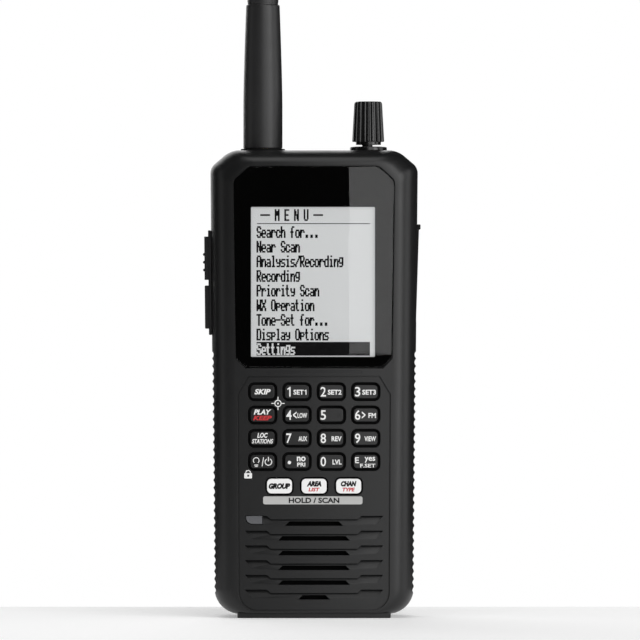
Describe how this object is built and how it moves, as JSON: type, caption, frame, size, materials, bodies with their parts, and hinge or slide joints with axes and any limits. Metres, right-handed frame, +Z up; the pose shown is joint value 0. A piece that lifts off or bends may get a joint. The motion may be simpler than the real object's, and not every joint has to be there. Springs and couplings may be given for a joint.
{
  "type": "police scanner",
  "caption": "Handheld scanning radio receiver with a display window, a keypad, a louvred speaker grille, a fluted knob, a whip antenna, side buttons and a sprung belt clip.",
  "frame": {"origin": "middle of the flat foot under the case", "axes": "+X to the right of someone facing the display, -Y out of the display, +Z up"},
  "size_m": [0.0699, 0.0465, 0.301],
  "materials": {
    "case": "fine matt moulded texture, dark grey",
    "keys": "satin moulded caps with printed legends",
    "white_keys": "satin white caps with printed legends",
    "lens": "gloss black window",
    "display": "light grey reflective display",
    "light": "translucent smoky light pipe",
    "knob": "semi-gloss black, fluted",
    "rubber": "satin black rubber",
    "board": "green solder mask",
    "speaker": "black cone and cloth",
    "steel": "bright nickel-plated steel",
    "rotor": "natural acetal",
    "brass": "gold-plated brass",
    "cell": "printed jacket"
  },
  "bodies": {
    "root": {"alert_light": "light", "battery_cell_left": "cell", "battery_cell_middle": "cell", "battery_cell_right": "cell", "battery_contact_high": "steel", "battery_contact_low": "steel", "case_screw_high_left": "steel", "case_screw_high_right": "steel", "case_screw_low_left": "steel", "case_screw_low_right": "steel", "clip_bracket": "steel", "clip_pin": "steel", "clip_screw": "steel", "clip_spring": "steel", "display_window": "lens", "earphone_jack": "steel", "encoder_body": "steel", "encoder_nut": "knob", "front_case": "case", "keypad_board": "board", "keypad_mat": "rubber", "lcd_module": "display", "main_board": "board", "rear_case": "case", "rf_shield": "steel", "side_key_bezel": "case", "sma_jack": "brass", "speaker": "speaker", "speaker_mesh": "speaker", "usb_socket": "steel"},
    "key_0": {"key_0": "keys"},
    "key_1": {"key_1": "keys"},
    "key_2": {"key_2": "keys"},
    "key_3": {"key_3": "keys"},
    "key_4": {"key_4": "keys"},
    "key_5": {"key_5": "keys"},
    "key_6": {"key_6": "keys"},
    "key_7": {"key_7": "keys"},
    "key_8": {"key_8": "keys"},
    "key_9": {"key_9": "keys"},
    "key_bank": {"key_bank": "white_keys"},
    "key_channel": {"key_channel": "white_keys"},
    "key_dot": {"key_dot": "keys"},
    "key_enter": {"key_enter": "keys"},
    "key_group": {"key_group": "white_keys"},
    "key_power": {"key_power": "keys"},
    "key_replay": {"key_replay": "keys"},
    "key_skip": {"key_skip": "keys"},
    "key_zone": {"key_zone": "keys"},
    "func_button": {"func_button": "keys"},
    "menu_button": {"menu_button": "keys"},
    "usb_cover": {"usb_cover": "rubber"},
    "battery_cover": {"battery_cover": "case"},
    "belt_clip": {"belt_clip": "case"},
    "rotor": {"encoder_rotor": "rotor"},
    "knob": {"volume_knob": "knob", "encoder_shaft": "steel"},
    "antenna_seat": {"antenna_washer": "rubber"},
    "antenna": {"antenna_whip": "rubber", "antenna_connector": "brass"}
  },
  "joints": [
    {"name": "key_0_press", "type": "slide", "parent": "root", "child": "key_0", "axis": [0, 1, 0], "range_m": [0, 0.0008], "stiffness_N_per_m": 1500},
    {"name": "key_1_press", "type": "slide", "parent": "root", "child": "key_1", "axis": [0, 1, 0], "range_m": [0, 0.0008], "stiffness_N_per_m": 1500},
    {"name": "key_2_press", "type": "slide", "parent": "root", "child": "key_2", "axis": [0, 1, 0], "range_m": [0, 0.0008], "stiffness_N_per_m": 1500},
    {"name": "key_3_press", "type": "slide", "parent": "root", "child": "key_3", "axis": [0, 1, 0], "range_m": [0, 0.0008], "stiffness_N_per_m": 1500},
    {"name": "key_4_press", "type": "slide", "parent": "root", "child": "key_4", "axis": [0, 1, 0], "range_m": [0, 0.0008], "stiffness_N_per_m": 1500},
    {"name": "key_5_press", "type": "slide", "parent": "root", "child": "key_5", "axis": [0, 1, 0], "range_m": [0, 0.0008], "stiffness_N_per_m": 1500},
    {"name": "key_6_press", "type": "slide", "parent": "root", "child": "key_6", "axis": [0, 1, 0], "range_m": [0, 0.0008], "stiffness_N_per_m": 1500},
    {"name": "key_7_press", "type": "slide", "parent": "root", "child": "key_7", "axis": [0, 1, 0], "range_m": [0, 0.0008], "stiffness_N_per_m": 1500},
    {"name": "key_8_press", "type": "slide", "parent": "root", "child": "key_8", "axis": [0, 1, 0], "range_m": [0, 0.0008], "stiffness_N_per_m": 1500},
    {"name": "key_9_press", "type": "slide", "parent": "root", "child": "key_9", "axis": [0, 1, 0], "range_m": [0, 0.0008], "stiffness_N_per_m": 1500},
    {"name": "key_bank_press", "type": "slide", "parent": "root", "child": "key_bank", "axis": [0, 1, 0], "range_m": [0, 0.0008], "stiffness_N_per_m": 1500},
    {"name": "key_channel_press", "type": "slide", "parent": "root", "child": "key_channel", "axis": [0, 1, 0], "range_m": [0, 0.0008], "stiffness_N_per_m": 1500},
    {"name": "key_dot_press", "type": "slide", "parent": "root", "child": "key_dot", "axis": [0, 1, 0], "range_m": [0, 0.0008], "stiffness_N_per_m": 1500},
    {"name": "key_enter_press", "type": "slide", "parent": "root", "child": "key_enter", "axis": [0, 1, 0], "range_m": [0, 0.0008], "stiffness_N_per_m": 1500},
    {"name": "key_group_press", "type": "slide", "parent": "root", "child": "key_group", "axis": [0, 1, 0], "range_m": [0, 0.0008], "stiffness_N_per_m": 1500},
    {"name": "key_power_press", "type": "slide", "parent": "root", "child": "key_power", "axis": [0, 1, 0], "range_m": [0, 0.0008], "stiffness_N_per_m": 1500},
    {"name": "key_replay_press", "type": "slide", "parent": "root", "child": "key_replay", "axis": [0, 1, 0], "range_m": [0, 0.0008], "stiffness_N_per_m": 1500},
    {"name": "key_skip_press", "type": "slide", "parent": "root", "child": "key_skip", "axis": [0, 1, 0], "range_m": [0, 0.0008], "stiffness_N_per_m": 1500},
    {"name": "key_zone_press", "type": "slide", "parent": "root", "child": "key_zone", "axis": [0, 1, 0], "range_m": [0, 0.0008], "stiffness_N_per_m": 1500},
    {"name": "func_button_press", "type": "slide", "parent": "root", "child": "func_button", "axis": [1, 0, 0], "range_m": [0, 0.0008], "stiffness_N_per_m": 1500},
    {"name": "menu_button_press", "type": "slide", "parent": "root", "child": "menu_button", "axis": [1, 0, 0], "range_m": [0, 0.0008], "stiffness_N_per_m": 1500},
    {"name": "knob_turn", "type": "hinge", "parent": "root", "child": "rotor", "pos_m": [0.01744, 0, 0.146], "axis": [0, 0, 1], "continuous": true},
    {"name": "knob_push", "type": "slide", "parent": "rotor", "child": "knob", "axis": [0, 0, -1], "range_m": [0, 0.0005], "stiffness_N_per_m": 3000},
    {"name": "antenna_rise", "type": "slide", "parent": "root", "child": "antenna_seat", "axis": [0, 0, 1], "range_m": [0, 0.0032]},
    {"name": "antenna_turn", "type": "hinge", "parent": "antenna_seat", "child": "antenna", "pos_m": [-0.0165, 0, 0.15], "axis": [0, 0, 1], "range_deg": [0, 1620]},
    {"name": "battery_cover_slide", "type": "slide", "parent": "root", "child": "battery_cover", "axis": [0, 0, -1], "range_m": [0, 0.01]},
    {"name": "belt_clip_swing", "type": "hinge", "parent": "root", "child": "belt_clip", "pos_m": [0, 0.0215, 0.116], "axis": [1, 0, 0], "range_deg": [0, 20], "stiffness_Nm_per_rad": 0.7},
    {"name": "usb_cover_swing", "type": "hinge", "parent": "root", "child": "usb_cover", "pos_m": [0.0328, -0.0059, 0.0968], "axis": [0, 1, 0], "range_deg": [0, 110]}
  ],
  "couplings": [
    {"joint": "antenna_rise", "follows": "antenna_turn", "m_per_rad": 0.0001123}
  ]
}
